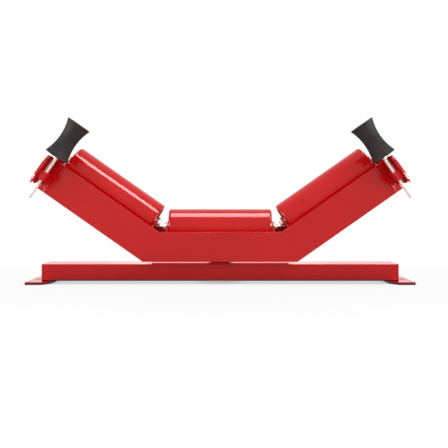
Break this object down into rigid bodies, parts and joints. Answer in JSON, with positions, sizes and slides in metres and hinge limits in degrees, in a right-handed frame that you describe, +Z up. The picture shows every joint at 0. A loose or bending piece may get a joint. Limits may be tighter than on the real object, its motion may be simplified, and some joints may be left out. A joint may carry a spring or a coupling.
{
  "type": "troughing idler set",
  "caption": "Self-aligning troughing idler set: base beam with feet, swinging trough frame with equal rollers, and concave edge guide rollers on inclined shafts.",
  "frame": {"origin": "on the pivot axis at the level that the feet stand on, the centre of the bolt slots", "axes": "+X across the conveyor, +Y along the belt away from the guide rollers, +Z up"},
  "size_m": [1.15, 0.255, 0.4868],
  "materials": {
    "red_paint": "glossy red enamel over welded steel plate and tube",
    "black_rubber": "smooth black moulded rubber",
    "machined_steel": "bright turned steel bar",
    "bearing_steel": "ground bearing steel",
    "zinc_steel": "zinc-plated fasteners",
    "black_steel": "blackened spring steel",
    "seal_plastic": "dark moulded plastic",
    "felt": "pressed felt ring"
  },
  "bodies": {
    "base": {"base_beam": "red_paint", "left_foot": "red_paint", "right_foot": "red_paint", "seat_plate": "red_paint", "pivot_housing": "red_paint", "pivot_outer_ring": "bearing_steel", "thrust_washer_lower": "bearing_steel", "pivot_circlip": "black_steel", "pivot_felt_ring": "felt"},
    "centre_roller": {"centre_roller_shell": "red_paint", "centre_roller_housings": "red_paint", "centre_roller_bearings": "bearing_steel", "centre_roller_seals": "seal_plastic"},
    "left_roller": {"left_roller_shell": "red_paint", "left_roller_housings": "red_paint", "left_roller_bearings": "bearing_steel", "left_roller_seals": "seal_plastic"},
    "right_roller": {"right_roller_shell": "red_paint", "right_roller_housings": "red_paint", "right_roller_bearings": "bearing_steel", "right_roller_seals": "seal_plastic"},
    "left_guide": {"left_guide_roller": "black_rubber", "left_guide_bearings": "bearing_steel", "left_guide_caps": "black_rubber"},
    "right_guide": {"right_guide_roller": "black_rubber", "right_guide_bearings": "bearing_steel", "right_guide_caps": "black_rubber"},
    "trough_frame": {"front_plate": "red_paint", "rear_plate": "red_paint", "centre_bottom_plate": "red_paint", "left_bottom_plate": "red_paint", "right_bottom_plate": "red_paint", "centre_brackets": "red_paint", "left_brackets": "red_paint", "right_brackets": "red_paint", "left_arm": "red_paint", "right_arm": "red_paint", "left_lug": "red_paint", "right_lug": "red_paint", "stop_lug": "red_paint", "pivot_shaft": "machined_steel", "pivot_inner_ring": "bearing_steel", "thrust_washer_upper": "bearing_steel", "pivot_washer": "zinc_steel", "pivot_nut": "zinc_steel", "pivot_cotter": "zinc_steel", "grease_nipple": "zinc_steel", "centre_roller_shaft": "machined_steel", "left_roller_shaft": "machined_steel", "right_roller_shaft": "machined_steel", "roller_inner_rings": "bearing_steel", "roller_circlips": "black_steel", "roller_fixed_seals": "seal_plastic", "left_guide_shaft": "machined_steel", "right_guide_shaft": "machined_steel", "guide_inner_rings": "bearing_steel", "guide_circlips": "black_steel", "guide_set_screws": "black_steel"}
  },
  "joints": [
    {"name": "frame_swing", "type": "hinge", "parent": "base", "child": "trough_frame", "pos_m": [0, 0, 0.046], "axis": [0, 0, 1], "range_deg": [-8, 8]},
    {"name": "centre_roller_spin", "type": "hinge", "parent": "trough_frame", "child": "centre_roller", "pos_m": [0, 0, 0.1685], "axis": [1, 0, 0], "continuous": true},
    {"name": "left_roller_spin", "type": "hinge", "parent": "trough_frame", "child": "left_roller", "pos_m": [-0.32685, 0, 0.27596], "axis": [-0.8192, 0, 0.5736], "continuous": true},
    {"name": "right_roller_spin", "type": "hinge", "parent": "trough_frame", "child": "right_roller", "pos_m": [0.32685, 0, 0.27596], "axis": [0.8192, 0, 0.5736], "continuous": true},
    {"name": "left_guide_spin", "type": "hinge", "parent": "trough_frame", "child": "left_guide", "pos_m": [-0.46902, -0.132, 0.37367], "axis": [0.5736, 0, 0.8192], "continuous": true},
    {"name": "right_guide_spin", "type": "hinge", "parent": "trough_frame", "child": "right_guide", "pos_m": [0.46902, -0.132, 0.37367], "axis": [-0.5736, 0, 0.8192], "continuous": true}
  ]
}
